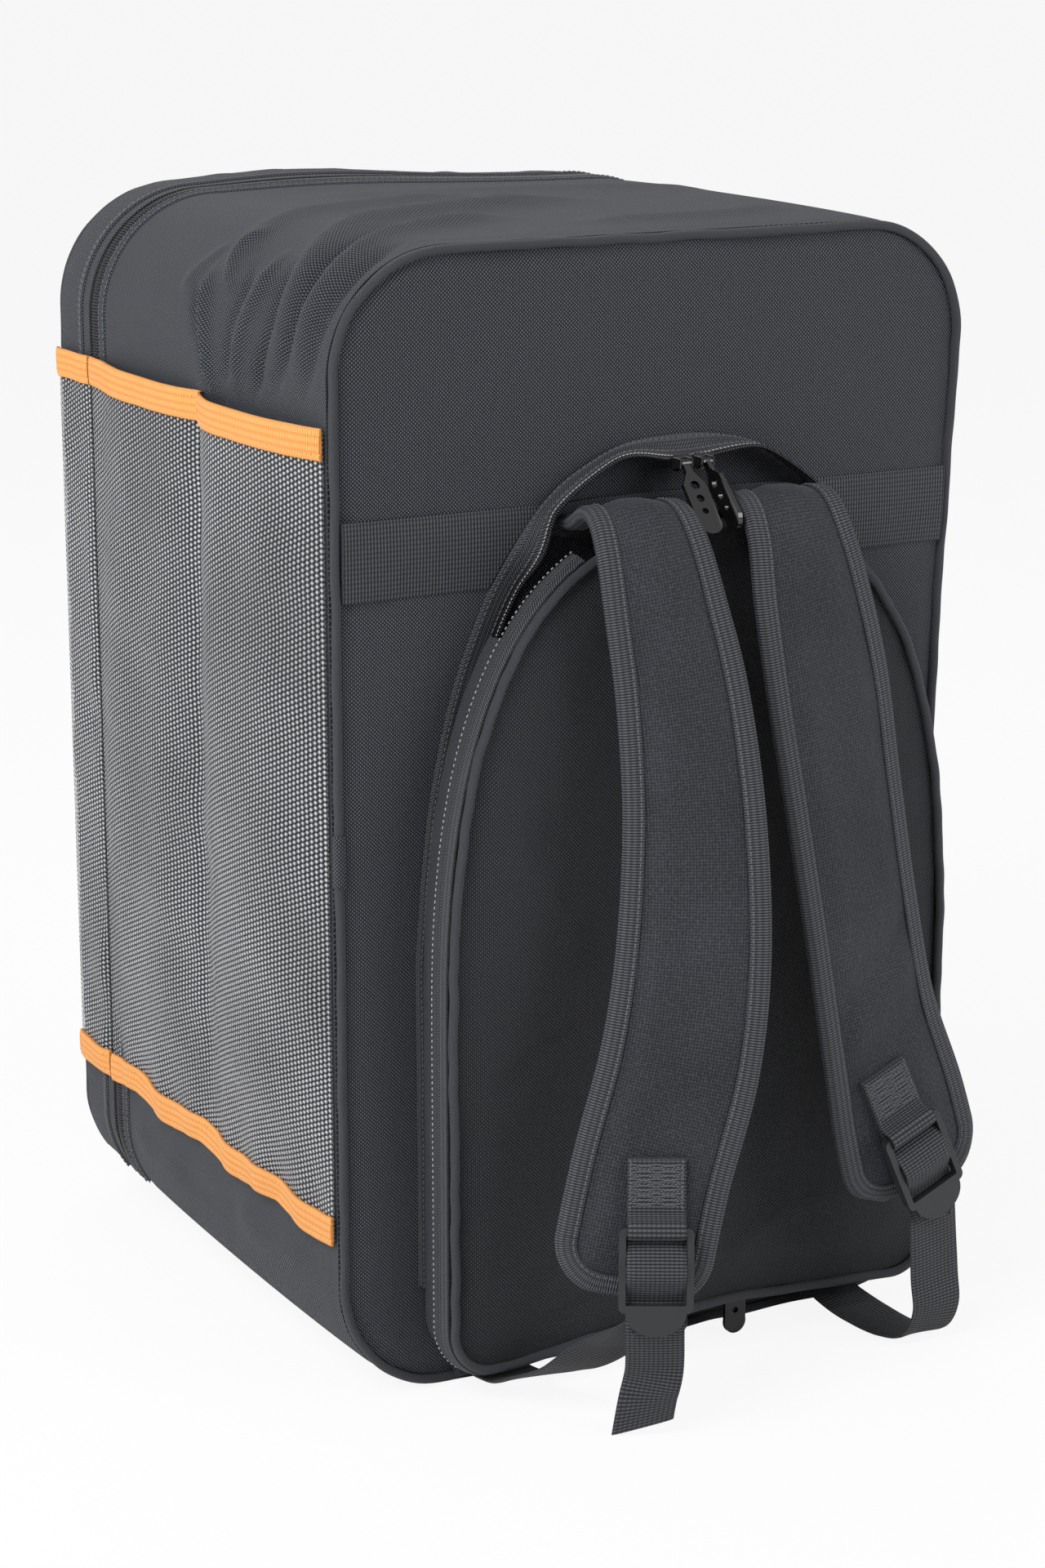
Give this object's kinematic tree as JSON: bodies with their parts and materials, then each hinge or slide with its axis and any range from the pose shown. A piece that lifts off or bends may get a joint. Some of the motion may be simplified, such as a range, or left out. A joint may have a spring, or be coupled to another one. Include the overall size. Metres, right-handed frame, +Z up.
{
  "type": "box-shaped kit backpack",
  "caption": "Box-shaped fabric kit backpack with a zipped fold-out front, mesh side pocket, side carry handle and arched cover over padded shoulder straps with ladder-lock buckles.",
  "frame": {"origin": "bottom centre of the box-shaped body, on the ground", "axes": "+Z up; +X across the bag, to the right seen from the harness side; the harness is on -Y and the fold-out front on +Y"},
  "size_m": [0.4112, 0.4862, 0.6008],
  "materials": {
    "fabric_shell": "charcoal oxford weave",
    "fabric_panel": "charcoal padded fabric",
    "fabric_piping": "grey-black fabric piping",
    "webbing": "black ribbed webbing",
    "strap_mesh": "spacer mesh padding",
    "strap_binding": "charcoal edge binding",
    "pocket_mesh": "grey see-through mesh",
    "orange_binding": "orange ribbed binding",
    "zip_tape": "black zip tape",
    "zip_teeth": "black nylon coil",
    "slider_metal": "black lacquered metal",
    "buckle_plastic": "dark grey plastic",
    "board": "stiffening sheet"
  },
  "bodies": {
    "bag": {"body_shell": "fabric_shell", "base_board": "board", "back_panel": "fabric_panel", "back_board": "board", "back_piping": "fabric_piping", "piping_sleeve": "fabric_shell", "back_band": "webbing", "arch_zip_tape": "zip_tape", "arch_zip_teeth": "zip_teeth", "cover_panel": "fabric_panel", "cover_gusset": "fabric_shell", "cover_piping": "fabric_piping", "cover_zip_tape": "zip_tape", "strap_yoke": "fabric_panel", "webbing_anchors": "fabric_shell", "mesh_pocket": "pocket_mesh", "pocket_bottom_binding": "orange_binding", "pocket_top_binding": "orange_binding", "side_handle": "webbing", "side_handle_patches": "webbing", "main_zip_tape": "zip_tape", "main_zip_teeth": "zip_teeth", "front_sill": "fabric_panel", "sill_piping": "fabric_piping", "lower_webbing_left": "webbing", "lower_webbing_right": "webbing"},
    "lid": {"lid_panel": "fabric_panel", "lid_piping": "fabric_piping", "lid_gusset": "fabric_shell", "lid_zip_tape": "zip_tape", "lid_zip_teeth": "zip_teeth", "lid_mesh": "pocket_mesh", "lid_mesh_bindings": "orange_binding"},
    "main_slider_upper": {"main_slider_upper": "slider_metal"},
    "main_puller_upper": {"main_puller_upper": "slider_metal"},
    "main_slider_lower": {"main_slider_lower": "slider_metal"},
    "main_puller_lower": {"main_puller_lower": "slider_metal"},
    "arch_slider_left": {"arch_slider_left": "slider_metal"},
    "arch_puller_left": {"arch_puller_left": "slider_metal"},
    "arch_slider_right": {"arch_slider_right": "slider_metal"},
    "arch_puller_right": {"arch_puller_right": "slider_metal"},
    "cover_slider": {"cover_slider": "slider_metal"},
    "cover_puller": {"cover_puller": "slider_metal"},
    "strap_left": {"strap_left_pad": "strap_mesh", "strap_left_binding": "strap_binding", "strap_left_tab": "webbing"},
    "buckle_left": {"buckle_left": "buckle_plastic", "buckle_left_webbing": "webbing"},
    "strap_right": {"strap_right_pad": "strap_mesh", "strap_right_binding": "strap_binding", "strap_right_tab": "webbing"},
    "buckle_right": {"buckle_right": "buckle_plastic", "buckle_right_webbing": "webbing"}
  },
  "joints": [
    {"name": "lid_open", "type": "hinge", "parent": "bag", "child": "lid", "pos_m": [0, 0.178, 0.024], "axis": [-1, 0, 0], "range_deg": [0, 90]},
    {"name": "main_slider_upper_run", "type": "slide", "parent": "bag", "child": "main_slider_upper", "axis": [0, 0, 1], "range_m": [0, 0.225]},
    {"name": "main_slider_lower_run", "type": "slide", "parent": "bag", "child": "main_slider_lower", "axis": [0, 0, -1], "range_m": [0, 0.215]},
    {"name": "main_puller_upper_swing", "type": "hinge", "parent": "main_slider_upper", "child": "main_puller_upper", "pos_m": [0.1932, 0.126, 0.304], "axis": [0, -1, 0], "range_deg": [0, 125]},
    {"name": "main_puller_lower_swing", "type": "hinge", "parent": "main_slider_lower", "child": "main_puller_lower", "pos_m": [0.1932, 0.126, 0.29], "axis": [0, -1, 0], "range_deg": [0, 14]},
    {"name": "arch_slider_left_run", "type": "slide", "parent": "bag", "child": "arch_slider_left", "axis": [-1, 0, 0], "range_m": [0, 0.003]},
    {"name": "arch_slider_right_run", "type": "slide", "parent": "bag", "child": "arch_slider_right", "axis": [1, 0, 0], "range_m": [0, 0.003]},
    {"name": "arch_puller_left_swing", "type": "hinge", "parent": "arch_slider_left", "child": "arch_puller_left", "pos_m": [0.0025, -0.19554, 0.48496], "axis": [-1, 0, 0], "range_deg": [0, 110]},
    {"name": "arch_puller_right_swing", "type": "hinge", "parent": "arch_slider_right", "child": "arch_puller_right", "pos_m": [0.0152, -0.19554, 0.48496], "axis": [-1, 0, 0], "range_deg": [0, 110]},
    {"name": "cover_slider_run", "type": "slide", "parent": "bag", "child": "cover_slider", "axis": [1, 0, 0], "range_m": [-0.01, 0.01]},
    {"name": "cover_puller_swing", "type": "hinge", "parent": "cover_slider", "child": "cover_puller", "pos_m": [0.039, -0.1985, 0.045], "axis": [1, 0, 0], "range_deg": [-5, 20]},
    {"name": "strap_left_swing", "type": "hinge", "parent": "bag", "child": "strap_left", "pos_m": [-0.038, -0.184, 0.4655], "axis": [-1, 0, 0], "range_deg": [0, 6], "deforming": ["lower_webbing_left"]},
    {"name": "strap_right_swing", "type": "hinge", "parent": "bag", "child": "strap_right", "pos_m": [0.05, -0.184, 0.4655], "axis": [-1, 0, 0], "range_deg": [0, 6], "deforming": ["lower_webbing_right"]},
    {"name": "buckle_left_tilt", "type": "hinge", "parent": "strap_left", "child": "buckle_left", "pos_m": [-0.06799, -0.29222, 0.11588], "axis": [-0.8822, 0.4707, 0.0097], "range_deg": [0, 12]},
    {"name": "buckle_right_tilt", "type": "hinge", "parent": "strap_right", "child": "buckle_right", "pos_m": [0.10227, -0.26871, 0.13213], "axis": [-0.927, -0.0523, -0.3715], "range_deg": [0, 12]}
  ]
}
